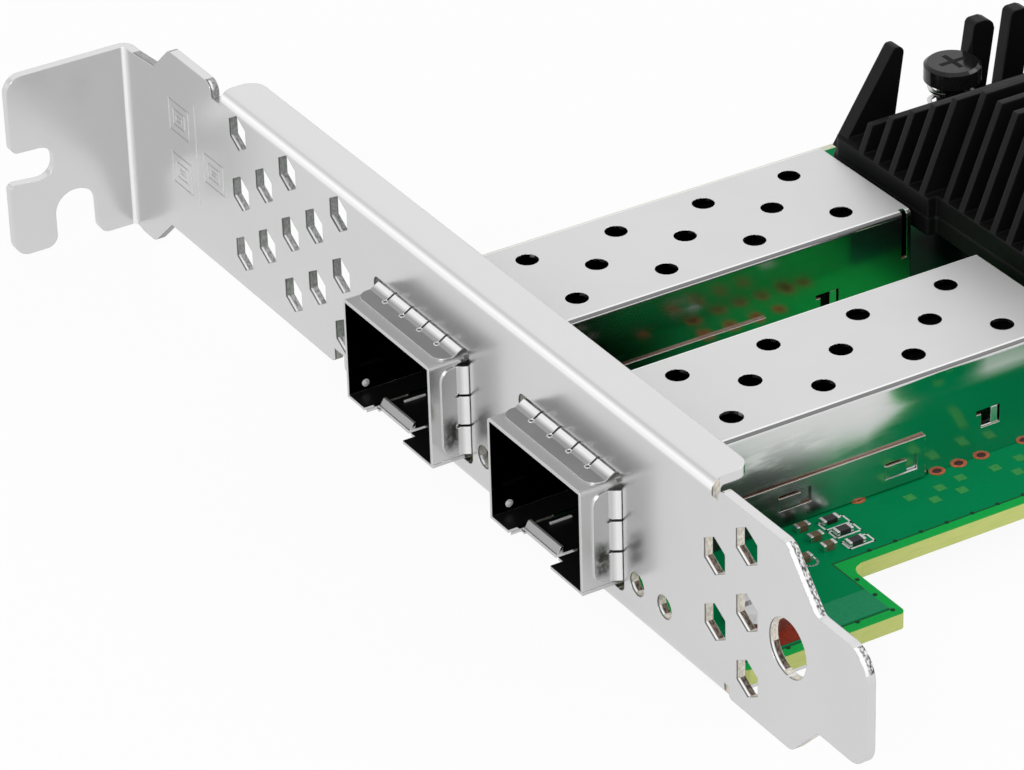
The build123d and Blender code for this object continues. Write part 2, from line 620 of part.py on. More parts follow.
flash_x, flash_y = 80.0, 102.0
with BuildPart() as flash_chip:
    with Locations((flash_x, flash_y, 0.95)):
        Box(4.0, 5.0, 1.6)
    chamfer(flash_chip.edges().filter_by(Axis.Y).group_by(Axis.Z)[-1], 0.25)
    for side in (-1, 1):
        leg_y = [flash_y + 1.27 * (step - 1.5) for step in range(4)]
        with Locations(*[(flash_x + side * 2.2, y, 0.8) for y in leg_y]):
            Box(0.6, 0.42, 0.2)
        with Locations(*[(flash_x + side * 2.5, y, 0.45) for y in leg_y]):
            Box(0.2, 0.42, 0.9)
        with Locations(*[(flash_x + side * 2.8, y, 0.1) for y in leg_y]):
            Box(0.7, 0.42, 0.2)
save(flash_chip, "flash_chip")

crystal_x, crystal_y, crystal_height = 52.0, 103.0, 1.3
with BuildPart() as crystal:
    with Locations((crystal_x, crystal_y, crystal_height / 2)):
        Box(5.0, 3.2, crystal_height)
    chamfer(crystal.edges().filter_by(Axis.Z), 0.5)
    chamfer(crystal.edges().group_by(Axis.Z)[-1], 0.2)
save(crystal, "crystal")
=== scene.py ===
"""Looks of the network interface card: finishes, small board details, light and camera."""

import json
import math

import bmesh
import bpy
from mathutils import Matrix, Vector


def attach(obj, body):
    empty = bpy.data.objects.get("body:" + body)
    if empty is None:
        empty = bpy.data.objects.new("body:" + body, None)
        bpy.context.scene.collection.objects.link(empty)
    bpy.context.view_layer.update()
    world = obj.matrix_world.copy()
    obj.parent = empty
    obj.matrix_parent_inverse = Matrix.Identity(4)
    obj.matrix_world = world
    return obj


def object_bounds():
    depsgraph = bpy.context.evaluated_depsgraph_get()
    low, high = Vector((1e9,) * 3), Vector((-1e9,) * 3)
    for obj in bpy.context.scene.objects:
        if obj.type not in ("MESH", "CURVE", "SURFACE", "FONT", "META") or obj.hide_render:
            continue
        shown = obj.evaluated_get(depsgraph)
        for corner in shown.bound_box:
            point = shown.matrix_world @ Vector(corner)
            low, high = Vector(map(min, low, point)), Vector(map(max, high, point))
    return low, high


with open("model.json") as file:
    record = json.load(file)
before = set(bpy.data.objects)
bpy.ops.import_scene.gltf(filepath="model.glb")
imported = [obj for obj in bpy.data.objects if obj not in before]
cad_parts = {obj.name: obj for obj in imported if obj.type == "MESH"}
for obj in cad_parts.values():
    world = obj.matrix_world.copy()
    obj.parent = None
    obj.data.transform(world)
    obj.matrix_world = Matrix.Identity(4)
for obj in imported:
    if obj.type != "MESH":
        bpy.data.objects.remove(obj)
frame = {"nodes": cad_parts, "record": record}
nodes = frame["nodes"]
cad_low, cad_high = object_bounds()

MM = 0.001
PORT_CENTRES = (53.8, 77.26)
PORT_MIDDLE = sum(PORT_CENTRES) / 2
PORT_OFFSET = PORT_CENTRES[1] - PORT_MIDDLE
CAGE_HALF, CAGE_SHEET, CAGE_TOP = 7.1, 0.35, 9.81
LATCH_MIDDLE, LATCH_HALF = -1.4, 2.55
BOARD_THICKNESS = 1.57
SINK_X, SINK_Y = (47.4, 85.5), (46.0, 94.0)


# Finishes
class Finish:
    """A material being put together from nodes."""

    def __init__(self, name):
        self.material = bpy.data.materials.new(name)
        self.material.use_nodes = True
        self.tree = self.material.node_tree
        self.tree.nodes.clear()
        self.shader = self.tree.nodes.new("ShaderNodeBsdfPrincipled")
        output = self.tree.nodes.new("ShaderNodeOutputMaterial")
        self.tree.links.new(self.shader.outputs["BSDF"], output.inputs["Surface"])
        self.place = self.tree.nodes.new("ShaderNodeTexCoord").outputs["Object"]
        self.geometry = self.tree.nodes.new("ShaderNodeNewGeometry")

    def feed(self, socket, value):
        """Link an output to a socket, or set a plain value on it."""
        if isinstance(value, bpy.types.NodeSocket):
            self.tree.links.new(value, socket)
        else:
            socket.default_value = value

    def maths(self, operation, first, second=0.0, clamp=False):
        node = self.tree.nodes.new("ShaderNodeMath")
        node.operation = operation
        node.use_clamp = clamp
        self.feed(node.inputs[0], first)
        self.feed(node.inputs[1], second)
        return node.outputs[0]

    def axis(self, vector, letter):
        node = self.tree.nodes.new("ShaderNodeSeparateXYZ")
        self.feed(node.inputs[0], vector)
        return node.outputs[letter]

    def ramp(self, value, low, high, start=0.0, end=1.0):
        """Value from start to end while the input goes from low to high."""
        node = self.tree.nodes.new("ShaderNodeMapRange")
        self.feed(node.inputs["Value"], value)
        for name, number in (("From Min", low), ("From Max", high), ("To Min", start), ("To Max", end)):
            node.inputs[name].default_value = number
        return node.outputs["Result"]

    def within(self, value, low, high):
        """1 where a value lies between low and high, else 0."""
        above = self.maths("GREATER_THAN", value, low)
        return self.maths("MULTIPLY", above, self.maths("LESS_THAN", value, high))

    def noise(self, size, detail=2.0, stretch=(1, 1, 1)):
        """Noise whose features are about size mm wide."""
        mapping = self.tree.nodes.new("ShaderNodeMapping")
        self.feed(mapping.inputs["Vector"], self.place)
        mapping.inputs["Scale"].default_value = [1 / (size * MM * factor) for factor in stretch]
        node = self.tree.nodes.new("ShaderNodeTexNoise")
        self.feed(node.inputs["Vector"], mapping.outputs[0])
        node.inputs["Scale"].default_value = 1.0
        node.inputs["Detail"].default_value = detail
        return node.outputs["Fac"]

    def mix(self, factor, first, second):
        node = self.tree.nodes.new("ShaderNodeMix")
        node.data_type = "RGBA"
        self.feed(node.inputs[0], factor)
        self.feed(node.inputs[6], first)
        self.feed(node.inputs[7], second)
        return node.outputs[2]

    def both(self, first, second):
        return self.maths("MULTIPLY", first, second)

    def either(self, first, second):
        return self.maths("MAXIMUM", first, second)

    def above(self, value, limit):
        return self.maths("GREATER_THAN", value, limit)

    def blend(self, factor, first, second):
        """Number between two others."""
        node = self.tree.nodes.new("ShaderNodeMix")
        self.feed(node.inputs[0], factor)
        self.feed(node.inputs[2], first)
        self.feed(node.inputs[3], second)
        return node.outputs[0]

    def leaned(self, normal, across, upward):
        """Normal pushed along X and Z by two small amounts, as on a sheet that isn't quite flat."""
        push = self.tree.nodes.new("ShaderNodeCombineXYZ")
        self.feed(push.inputs["X"], across)
        self.feed(push.inputs["Z"], upward)
        for operation in ("ADD", "NORMALIZE"):
            node = self.tree.nodes.new("ShaderNodeVectorMath")
            node.operation = operation
            self.feed(node.inputs[0], normal)
            if operation == "ADD":
                self.feed(node.inputs[1], push.outputs[0])
            normal = node.outputs[0]
        return normal

    def rounded(self, radius):
        """Shading normal with the sharp edges rounded off."""
        node = self.tree.nodes.new("ShaderNodeBevel")
        node.samples = 4
        node.inputs["Radius"].default_value = radius * MM
        return node.outputs[0]

    def edges(self, normal, low=0.02, high=0.2):
        """1 on the edges that a rounded normal turns away on, 0 on the flats."""
        node = self.tree.nodes.new("ShaderNodeVectorMath")
        node.operation = "DOT_PRODUCT"
        self.feed(node.inputs[0], normal)
        self.feed(node.inputs[1], self.geometry.outputs["Normal"])
        return self.ramp(node.outputs["Value"], 1 - low, 1 - high)

    def bump(self, height, depth, normal=None):
        """Bump whose height of 0 to 1 stands for depth mm."""
        node = self.tree.nodes.new("ShaderNodeBump")
        node.inputs["Distance"].default_value = depth * MM
        self.feed(node.inputs["Height"], height)
        if normal is not None:
            self.feed(node.inputs["Normal"], normal)
        return node.outputs[0]

    def surface(self, colour, roughness, normal=None, **others):
        self.feed(self.shader.inputs["Base Color"], colour)
        self.feed(self.shader.inputs["Roughness"], roughness)
        if normal is not None:
            self.feed(self.shader.inputs["Normal"], normal)
        for name, value in others.items():
            self.feed(self.shader.inputs[name.replace("_", " ")], value)
        return self.material


def grey(level):
    return (level, level, level, 1)


def sheet_metal(name, level, roughness, bright=0.9, rounding=0.1, grain=0.12):
    """Plated sheet: fine grain, faint clouds and a painted highlight on the rounded edges."""
    finish = Finish(name)
    fine = finish.noise(grain, 3.0)
    clouds = finish.noise(9.0, 2.0)
    colour = finish.mix(fine, grey(level * 0.965), grey(level * 1.03))
    colour = finish.mix(finish.ramp(clouds, 0.35, 0.65, 0.0, 0.25), colour, grey(level * 0.95))
    normal = finish.rounded(rounding)
    edges = finish.edges(normal)
    # Painted highlight along the rounded edges.
    colour = finish.mix(edges, colour, grey(bright))
    rough = finish.maths("ADD", finish.ramp(fine, 0.3, 0.7, roughness - 0.03, roughness + 0.04),
                         finish.ramp(clouds, 0.3, 0.7, 0.0, 0.03))
    normal = finish.bump(fine, 0.002, normal)
    return finish, colour, rough, normal


def bracket_finish():
    """Plated steel: satin faces, painted highlights on the folds, punched walls torn behind, with a painted highlight
    in front of the slanted and outer walls, and painted shade on the slanted walls.
    """
    finish = Finish("bracket plating")
    fine = finish.noise(0.12, 3.0)
    clouds = finish.noise(14.0, 2.0)
    true_normal = finish.geometry.outputs["Normal"]
    across, forward, upward = (finish.axis(true_normal, letter) for letter in "XYZ")
    place_x, depth, height = (finish.axis(finish.place, letter) for letter in "XYZ")
    plate = finish.mix(fine, grey(0.715), grey(0.735))
    plate = finish.mix(finish.ramp(clouds, 0.35, 0.65), plate, grey(0.71))
    colour = finish.mix(finish.ramp(upward, 0.8, 0.97), plate, grey(0.73))

    # Painted highlight: the top fold and the tab's fold are painted white where they face a narrow band of directions.
    top_fold_highlight = finish.both(finish.ramp(forward, -0.998, -0.97), finish.ramp(forward, -0.6, -0.82))
    top_fold_highlight = finish.both(top_fold_highlight, finish.above(height, 14.5 * MM))
    side_fold_highlight = finish.both(finish.within(across, 0.05, 0.998), finish.within(forward, -0.998, -0.05))
    side_fold_highlight = finish.both(side_fold_highlight, finish.maths("LESS_THAN", place_x, 1.5 * MM))
    colour = finish.mix(finish.either(top_fold_highlight, side_fold_highlight), colour, grey(1.0))

    wall = finish.both(finish.within(depth, 0.05 * MM, 0.84 * MM), finish.within(forward, -0.02, 0.02))
    wall = finish.both(wall, finish.within(upward, -0.999, 0.999))
    wall = finish.both(wall, finish.above(place_x, 1.5 * MM))
    slanted = finish.both(finish.above(across, 0.3), finish.above(upward, 0.3))
    outer = finish.both(finish.above(place_x, 104.5 * MM), finish.above(height, 10.2 * MM))
    outer = finish.either(outer, finish.above(place_x, 111.3 * MM))
    torn = finish.ramp(finish.noise(0.3, 4.0, (1, 0.6, 1)), 0.4, 0.6)
    torn_back = finish.ramp(depth, 0.3 * MM, 0.42 * MM)
    front_line = finish.ramp(depth, 0.2 * MM, 0.14 * MM)
    towards_foot = finish.ramp(place_x, 45.0 * MM, 85.0 * MM)
    pale_wall = finish.mix(torn, (0.62, 0.58, 0.5, 1), (0.85, 0.8, 0.72, 1))
    plain_wall = finish.mix(towards_foot, finish.mix(torn, grey(0.3), grey(0.46)), pale_wall)
    plain_wall = finish.mix(front_line, plain_wall, grey(0.16))
    # Walls slanting upward: painted shade, dark brown over the torn zone at the back, a painted white highlight in
    # front and a dark line at the very front.
    brown_wall = finish.mix(torn, (0.02, 0.014, 0.01, 1), (0.2, 0.15, 0.11, 1))
    shaded_wall = finish.mix(towards_foot, finish.mix(torn, grey(0.22), grey(0.5)), brown_wall)
    shaded_wall = finish.mix(torn_back, grey(1.0), shaded_wall)
    shaded_wall = finish.mix(front_line, shaded_wall, grey(0.08))
    # Outer edges: a painted highlight in front of the mottled torn zone.
    highlighted_edge_wall = finish.mix(torn_back, grey(0.95), finish.mix(torn, grey(0.1), grey(0.8)))
    slanted_wall = finish.mix(outer, shaded_wall, highlighted_edge_wall)
    straight_wall = finish.mix(outer, plain_wall, grey(0.72))
    colour = finish.mix(wall, colour, finish.mix(slanted, straight_wall, slanted_wall))
    rough = finish.maths("ADD", finish.ramp(clouds, 0.3, 0.7, 0.2, 0.24), finish.both(wall, 0.3))
    normal = finish.bump(fine, 0.0004, finish.rounded(0.12))
    inner_wall = finish.both(wall, finish.maths("SUBTRACT", 1.0, outer))
    return finish.surface(colour, rough, normal, Metallic=finish.blend(inner_wall, 1.0, 0.3))


def cage_finish(name, latch=False):
    """Bright cage sheet: satin top, wavy mirror-like sides, a nose whose top is a darker copy as painted shade, painted
    highlight and shade on the top's folds, painted highlight on the edges, painted dark reflection and painted shade
    low on the sides near the bracket, and painted shade inside except for the latch's strip.
    """
    finish = Finish(name)
    fine = finish.noise(0.1, 3.0)
    clouds = finish.noise(9.0, 2.0)
    place_x, depth, height = (finish.axis(finish.place, letter) for letter in "XYZ")
    true_normal = finish.geometry.outputs["Normal"]
    upward = finish.maths("ABSOLUTE", finish.axis(true_normal, "Z"))
    across = finish.maths("ABSOLUTE", finish.axis(true_normal, "X"))
    side = finish.maths("LESS_THAN", upward, 0.5)
    colour = finish.mix(fine, grey(0.72), grey(0.745))
    colour = finish.mix(finish.ramp(clouds, 0.35, 0.65), colour, grey(0.71))
    # Painted shade: the nose's top is a darker copy of the steel than its sides.
    nose_with_shaded_top = finish.mix(side, grey(0.44), grey(0.64))
    colour = finish.mix(finish.ramp(depth, 0.3 * MM, -0.3 * MM), colour, nose_with_shaded_top)
    # Painted highlight on the upper part of the top's folds and painted shade on their lower part, picked by the
    # direction they face.
    colour = finish.mix(finish.both(finish.above(depth, 0.0), finish.within(across, 0.06, 0.4)), colour, grey(0.97))
    colour = finish.mix(finish.both(finish.above(depth, 0.0), finish.within(across, 0.4, 0.9)), colour, grey(0.2))

    # Painted dark reflection in streaks and painted shade, low on the sides near the bracket.
    streaks = finish.ramp(finish.noise(0.8, 4.0, (1, 5, 1)), 0.3, 0.5)
    near_bracket = finish.both(finish.ramp(depth, 21.0 * MM, 13.0 * MM), finish.ramp(height, 8.6 * MM, 5.0 * MM))
    near_bracket = finish.both(near_bracket, finish.above(depth, 0.9 * MM))
    painted_dark_reflection = finish.both(finish.both(streaks, near_bracket), side)
    colour = finish.mix(painted_dark_reflection, colour, grey(0.03))
    shaded = finish.both(finish.both(near_bracket, side), finish.ramp(height, 7.1 * MM, 5.4 * MM))
    colour = finish.mix(finish.both(shaded, 0.83), colour, grey(0.13))
    edges_normal = finish.rounded(0.1)
    edges = finish.edges(edges_normal)
    flap_top = finish.both(finish.above(upward, 0.5), finish.within(height, 1.5 * MM, 7.5 * MM))
    colour = finish.mix(finish.both(flap_top, finish.above(depth, 1.0 * MM)), colour, (0.3, 0.13, 0.06, 1))
    # Painted highlight along the rounded edges.
    colour = finish.mix(edges, colour, grey(0.9))

    # Painted shade: the inside of the ports is painted near black, apart from the latch's strip.
    offset = finish.maths("ABSOLUTE", finish.maths("SUBTRACT", place_x, PORT_MIDDLE * MM))
    offset = finish.maths("ABSOLUTE", finish.maths("SUBTRACT", offset, PORT_OFFSET * MM))
    inside = finish.both(finish.maths("LESS_THAN", offset, (CAGE_HALF - 0.3) * MM),
                         finish.within(height, 0.4 * MM, (CAGE_TOP - CAGE_SHEET + 0.02) * MM))
    if latch:
        second = finish.both(finish.above(place_x, PORT_MIDDLE * MM), 2 * PORT_OFFSET * MM)
        first_x = finish.maths("SUBTRACT", place_x, second)
        latch_x = (PORT_CENTRES[0] + LATCH_MIDDLE) * MM
        strip = finish.within(first_x, latch_x - LATCH_HALF * MM, latch_x + LATCH_HALF * MM)
        strip = finish.both(strip, finish.maths("LESS_THAN", depth, -1.45 * MM))
        inside = finish.both(inside, finish.maths("SUBTRACT", 1.0, strip))
    colour = finish.mix(inside, colour, grey(0.012))

    outer_side = finish.both(side, finish.above(place_x, 80.0 * MM))
    warp = finish.both(finish.ramp(depth, 24.0 * MM, 31.0 * MM, 0.0, -0.16), outer_side)
    warp = finish.both(warp, finish.ramp(height, 1.0 * MM, 5.0 * MM))
    far_dent = finish.both(finish.ramp(depth, 32.5 * MM, 36.0 * MM), finish.ramp(height, 6.8 * MM, 8.2 * MM))
    warp = finish.both(warp, finish.ramp(far_dent, 0.0, 1.0, 1.0, 0.4))
    warp = finish.both(warp, finish.ramp(height, 7.5 * MM, 9.3 * MM, 1.0, 2.2))
    waves = finish.noise(6.0, 1.0, (1, 1.6, 0.7))
    sway = finish.both(finish.maths("SUBTRACT", waves, 0.5), finish.ramp(outer_side, 0.0, 1.0, 0.03, 0.09))
    normal = finish.leaned(finish.bump(fine, 0.0015, edges_normal), 0.0, finish.maths("ADD", warp, sway))
    blurred = finish.ramp(depth, 30.0 * MM, 8.0 * MM, 0.0, 0.28)
    blurred = finish.both(finish.maths("ADD", blurred, finish.both(far_dent, 0.15)), outer_side)
    mirror = finish.maths("ADD", finish.ramp(streaks, 0.0, 1.0, 0.07, 0.12), blurred)
    rough = finish.blend(side, 0.34, mirror)
    return finish.surface(colour, rough, normal, Metallic=finish.blend(side, 0.45, 1.0))


def spring_finish():
    """Grey satin spring sheet: the top a darker copy than the sides as painted shade, painted highlights on the backs
    of the fingers and along its edges, and a painted dark reflection low on the sides.
    """
    finish = Finish("spring sheet")
    fine = finish.noise(0.1, 3.0)
    clouds = finish.noise(5.0, 2.0)
    upward = finish.maths("ABSOLUTE", finish.axis(finish.geometry.outputs["Normal"], "Z"))
    side = finish.maths("LESS_THAN", upward, 0.3)
    # Painted shade and light: the top is a darker copy of the sheet than the sides.
    shaded_top_colour = finish.mix(fine, grey(0.29), grey(0.37))
    lit_side_colour = finish.mix(fine, grey(0.58), grey(0.66))
    colour = finish.mix(side, shaded_top_colour, lit_side_colour)
    colour = finish.mix(finish.ramp(clouds, 0.35, 0.65, 0.0, 0.3), colour, grey(0.45))
    depth = finish.axis(finish.place, "Y")
    # Painted highlight on the backs of the fingers.
    finger_back_highlight = finish.ramp(depth, -0.72 * MM, -0.4 * MM)
    colour = finish.mix(finger_back_highlight, colour, grey(0.9))
    forward, height = finish.axis(finish.geometry.outputs["Normal"], "Y"), finish.axis(finish.place, "Z")
    # Painted dark reflection in patches, low on the sides.
    painted_dark_reflection = finish.both(finish.both(side, finish.ramp(height, 4.9 * MM, 3.6 * MM)), finish.ramp(height, 1.1 * MM, 1.9 * MM))
    painted_dark_reflection = finish.both(painted_dark_reflection, finish.ramp(depth, -2.7 * MM, -1.9 * MM))
    painted_dark_reflection = finish.both(painted_dark_reflection, finish.ramp(depth, -0.85 * MM, -1.15 * MM))
    painted_dark_reflection = finish.both(painted_dark_reflection, finish.ramp(finish.noise(0.5, 3.0), 0.3, 0.55, 0.4, 1.0))
    colour = finish.mix(painted_dark_reflection, colour, grey(0.1))
    # Painted highlight along the rounded edges and the front edge.
    edges_normal = finish.rounded(0.06)
    colour = finish.mix(finish.edges(edges_normal), colour, grey(0.95))
    front_edge_highlight = finish.both(finish.maths("LESS_THAN", forward, -0.5), finish.maths("LESS_THAN", depth, -1.6 * MM))
    colour = finish.mix(front_edge_highlight, colour, grey(1.0))
    normal = finish.bump(fine, 0.0006, edges_normal)
    return finish.surface(colour, finish.ramp(clouds, 0.3, 0.7, 0.22, 0.28), normal, Metallic=1.0)


def plain_metal(name, level, roughness, tint=(1, 1, 1)):
    finish, colour, rough, normal = sheet_metal(name, level, roughness, bright=min(1.0, level * 1.3), rounding=0.05)
    colour = finish.mix(finish.noise(1.5), [level * 0.93 * t for t in tint] + [1], [level * 1.05 * t for t in tint] + [1])
    return finish.surface(colour, rough, normal, Metallic=1.0)


def plain_matter(name, dark, light, roughness, grain=0.3, depth=0.01, specular=0.3, rounding=0.08, **constants):
    """Moulded, painted or ceramic surface with fine grain between two close colours."""
    finish = Finish(name)
    fine = finish.noise(grain, 3.0)
    clouds = finish.noise(grain * 20, 2.0)
    blend = finish.maths("MULTIPLY", finish.ramp(fine, 0.3, 0.7), finish.ramp(clouds, 0.3, 0.7, 0.5, 1.0))
    colour = finish.mix(blend, dark, light)
    normal = finish.bump(fine, depth, finish.rounded(rounding))
    rough = finish.ramp(clouds, 0.3, 0.7, roughness - 0.04, roughness + 0.04)
    return finish.surface(colour, rough, normal, **{"Specular_IOR_Level": specular}, **constants)


ROUTED_EDGE = 32.35


def shade_under_heatsink(finish, colour):
    """Darken a colour softly below and round the heatsink."""
    place_x, depth = (finish.axis(finish.place, letter) for letter in "XY")
    soft = 4.0 * MM
    shade = finish.ramp(depth, (SINK_Y[0] - 1.0) * MM, (SINK_Y[0] + 7.0) * MM)
    shade = finish.both(shade, finish.ramp(depth, SINK_Y[1] * MM + soft, SINK_Y[1] * MM - soft))
    shade = finish.both(shade, finish.ramp(place_x, SINK_X[0] * MM - soft, SINK_X[0] * MM + soft))
    shade = finish.both(shade, finish.ramp(place_x, SINK_X[1] * MM + soft, SINK_X[1] * MM - soft))
    return finish.mix(shade, colour, (0.0, 0.008, 0.004, 1))


def board_finish():
    """Solder mask over laminate on the faces, pale laminate on the cut edges."""
    finish = Finish("board laminate")
    facing = finish.maths("ABSOLUTE", finish.axis(finish.geometry.outputs["Normal"], "Z"))
    face = finish.above(facing, 0.5)
    weave = finish.noise(0.35, 2.0)
    mask = finish.mix(weave, (0.0, 0.36, 0.055, 1), (0.004, 0.42, 0.07, 1))
    layers = finish.noise(0.5, 3.0, (4, 4, 0.3))
    core = finish.mix(layers, (0.5, 0.6, 0.17, 1), (0.72, 0.74, 0.28, 1))
    height = finish.axis(finish.place, "Z")
    skin = finish.within(height, -0.12 * MM, 0.1 * MM)
    core = finish.mix(skin, core, (0.03, 0.4, 0.07, 1))
    routed = finish.maths("LESS_THAN", finish.axis(finish.place, "X"), ROUTED_EDGE * MM)
    mask = finish.mix(routed, mask, (0.75, 0.78, 0.6, 1))
    rough = finish.ramp(face, 0, 1, 0.7, 0.3)
    normal = finish.bump(weave, 0.004)
    return finish.surface(finish.mix(face, core, mask), rough, normal, Specular_IOR_Level=0.04)


def copper_finish():
    """Solder mask over the copper pour: deep green, with painted shade darkest under the heatsink and between the cages
    near the bracket, and painted light between the cages towards the heatsink.
    """
    finish = Finish("mask over copper")
    fine = finish.noise(0.3, 3.0)
    clouds = finish.noise(6.0, 2.0)
    colour = finish.mix(fine, (0.0, 0.215, 0.07, 1), (0.0, 0.25, 0.086, 1))
    colour = finish.mix(finish.ramp(clouds, 0.35, 0.65, 0.0, 0.4), colour, (0.0, 0.2, 0.066, 1))
    place_x, depth = (finish.axis(finish.place, letter) for letter in "XY")
    low_x, high_x = (PORT_MIDDLE + side * (PORT_OFFSET - CAGE_HALF) for side in (-1, 1))
    between = finish.both(finish.within(place_x, low_x * MM, high_x * MM), finish.ramp(depth, 56.0 * MM, 50.0 * MM))
    # Painted shade between the cages near the bracket, and painted light towards the heatsink.
    between_shade_and_light = finish.mix(finish.ramp(depth, 16.0 * MM, 30.0 * MM), (0.004, 0.014, 0.006, 1), (0.004, 0.26, 0.06, 1))
    between_shade_and_light = finish.mix(finish.ramp(depth, 28.0 * MM, 42.0 * MM), between_shade_and_light, (0.015, 0.6, 0.1, 1))
    colour = finish.mix(between, colour, between_shade_and_light)
    under_top = finish.above(finish.axis(finish.place, "Z"), -0.5 * MM)
    colour = finish.mix(under_top, colour, shade_under_heatsink(finish, colour))
    return finish.surface(colour, finish.ramp(clouds, 0.3, 0.7, 0.24, 0.3), finish.bump(fine, 0.003),
                          Specular_IOR_Level=0.01)


def anodised_finish():
    """Black anodising: satin grain, a painted highlight on the rounded edges, and less shine on the fins' sides and the
    channels' floors than on their ends and tops, as painted shade.
    """
    finish = Finish("black anodising")
    fine = finish.noise(0.15, 3.0)
    clouds = finish.noise(3.0, 2.0)
    across = finish.maths("ABSOLUTE", finish.axis(finish.geometry.outputs["Normal"], "X"))
    colour = finish.mix(finish.both(fine, clouds), grey(0.005), grey(0.01))
    edges_normal = finish.rounded(0.25)
    # Painted highlight: the rounded edges are a little lighter.
    colour = finish.mix(finish.edges(edges_normal), colour, grey(0.022))
    # Painted shade: less shine on the fins' sides and the channels' floors.
    shine = finish.ramp(across, 0.6, 0.9, 0.17, 0.05)
    height = finish.axis(finish.place, "Z")
    upward = finish.axis(finish.geometry.outputs["Normal"], "Z")
    channel = finish.both(finish.above(upward, 0.9), finish.within(height, 10.5 * MM, 11.2 * MM))
    shine = finish.blend(channel, shine, 0.05)
    rough = finish.ramp(clouds, 0.3, 0.7, 0.46, 0.54)
    return finish.surface(colour, rough, finish.bump(fine, 0.006, edges_normal), Specular_IOR_Level=shine)


finishes = {
    "plated_steel": bracket_finish(),
    "cage_steel": cage_finish("cage plating"),
    "cage_floor": cage_finish("cage floor plating", latch=True),
    "screw_steel": plain_metal("screw steel", 0.6, 0.22),
    "spring_steel": spring_finish(),
    "board_green": board_finish(),
    "gold": plain_metal("gold flash", 0.9, 0.25, (1.0, 0.72, 0.3)),
    "black_aluminium": anodised_finish(),
    "black_plastic": plain_matter("glossy black", grey(0.008), grey(0.012), 0.14, 0.5, 0.004, 0.34),
    "substrate_green": plain_matter("chip substrate", (0.01, 0.09, 0.03, 1), (0.02, 0.12, 0.04, 1), 0.5),
    "lid_metal": plain_metal("lid plating", 0.5, 0.35),
    "pad_grey": plain_matter("thermal pad", grey(0.12), grey(0.16), 0.8),
    "resistor_body": plain_matter("resistor glaze", grey(0.012), grey(0.025), 0.35, 0.2),
    "capacitor_body": plain_matter("capacitor ceramic", (0.1, 0.07, 0.035, 1), (0.17, 0.13, 0.07, 1), 0.5, 0.2),
    "lamp_plastic": plain_matter("lamp lens", (0.6, 0.6, 0.5, 1), (0.7, 0.7, 0.6, 1), 0.2, 0.3),
    "ferrite": plain_matter("ferrite", grey(0.03), grey(0.06), 0.6, 0.15, 0.02),
    "chip_black": plain_matter("chip moulding", grey(0.01), grey(0.02), 0.55, 0.1),
    "can_aluminium": plain_metal("can aluminium", 0.75, 0.25),
    "crystal_can": plain_metal("crystal can", 0.65, 0.3, (1.0, 0.97, 0.9)),
    "connector_plastic": plain_matter("connector moulding", grey(0.006), grey(0.01), 0.6, 0.2, 0.004, 0.1),
    "copper_under_mask": copper_finish(),
    "mask_line": plain_matter("mask step", (0.0, 0.07, 0.02, 1), (0.01, 0.09, 0.03, 1), 0.35, 0.3, 0.003, 0.1),
    "mask_light": plain_matter("light mask", (0.01, 0.24, 0.1, 1), (0.02, 0.28, 0.12, 1), 0.4, 0.3, 0.003, 0.05),
    # Guide bars and dimples, painted pale as highlights inside the dark ports.
    "interior_highlight": plain_matter("guide edge", grey(0.8), grey(0.9), 0.4),
    "via_mask": plain_matter("mask over vias", (0.02, 0.25, 0.05, 1), (0.05, 0.33, 0.08, 1), 0.4, 0.3, 0.003, 0.1),
    "via_dark": plain_matter("open via", (0.0, 0.03, 0.01, 1), (0.0, 0.05, 0.02, 1), 0.4, 0.2, 0.003, 0.1),
    "bare_copper": plain_matter("bare copper", (0.35, 0.07, 0.015, 1), (0.6, 0.16, 0.04, 1), 0.35, 0.25, 0.01, 0.3),
    "hole_red": plain_matter("copper in shade", (0.02, 0.004, 0.002, 1), (0.06, 0.01, 0.004, 1), 0.4, 0.2, 0.003, 0.2),
    "red_copper": plain_matter("copper under flux", (0.2, 0.014, 0.0, 1), (0.28, 0.024, 0.002, 1), 0.4, 0.4, 0.004, 0.1),
    # The sign's level strokes are a darker copy of the plating as painted shade, its upright strokes pale as painted
    # highlight.
    "pressed_line": plain_metal("pressed line", 0.5, 0.25),
    "track_mask": plain_matter("mask over tracks", (0.0, 0.26, 0.085, 1), (0.004, 0.31, 0.1, 1), 0.3, 0.3, 0.003, 0.05),
    "sign_upright_highlight": plain_matter("bright line", grey(0.85), grey(0.92), 0.4),
    # Bright copy of the metal for the slit ends and the window tabs, as painted highlight.
    "bright_metal": plain_metal("glint metal", 0.95, 0.2),
    "silk_white": plain_matter("white ink", grey(0.72), grey(0.86), 0.5, 0.2, 0.006, 0.2),
    "solder": plain_metal("solder", 0.72, 0.25),
}
for part in frame["record"]["subparts"]:
    slots = nodes[part["node"]].data.materials
    slots.clear()
    slots.append(finishes["cage_floor" if part["node"].endswith("cage_floor") else part["material_slot"]])


